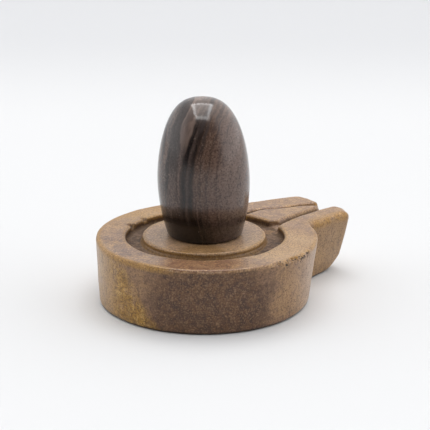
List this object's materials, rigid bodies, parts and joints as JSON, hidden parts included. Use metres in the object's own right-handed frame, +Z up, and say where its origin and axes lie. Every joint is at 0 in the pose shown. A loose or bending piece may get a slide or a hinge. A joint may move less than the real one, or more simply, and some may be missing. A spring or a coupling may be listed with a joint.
{
  "type": "shiva lingam",
  "caption": "Small home-altar lingam: an egg-shaped banded stone standing on the seat of a round carved stone base with a moat and a grooved side spout",
  "frame": {"origin": "centre of the moat and seat, on the base's underside", "axes": "+Z up, +X along the spout"},
  "size_m": [0.0996, 0.0802, 0.0747],
  "materials": {
    "base_stone": "carved brown stone, waxed, worn lighter and ochre along its edges",
    "lingam_stone": "polished mauve-brown stone with dark bands"
  },
  "bodies": {
    "root": {"yoni_base": "base_stone", "lingam": "lingam_stone"}
  },
  "joints": []
}
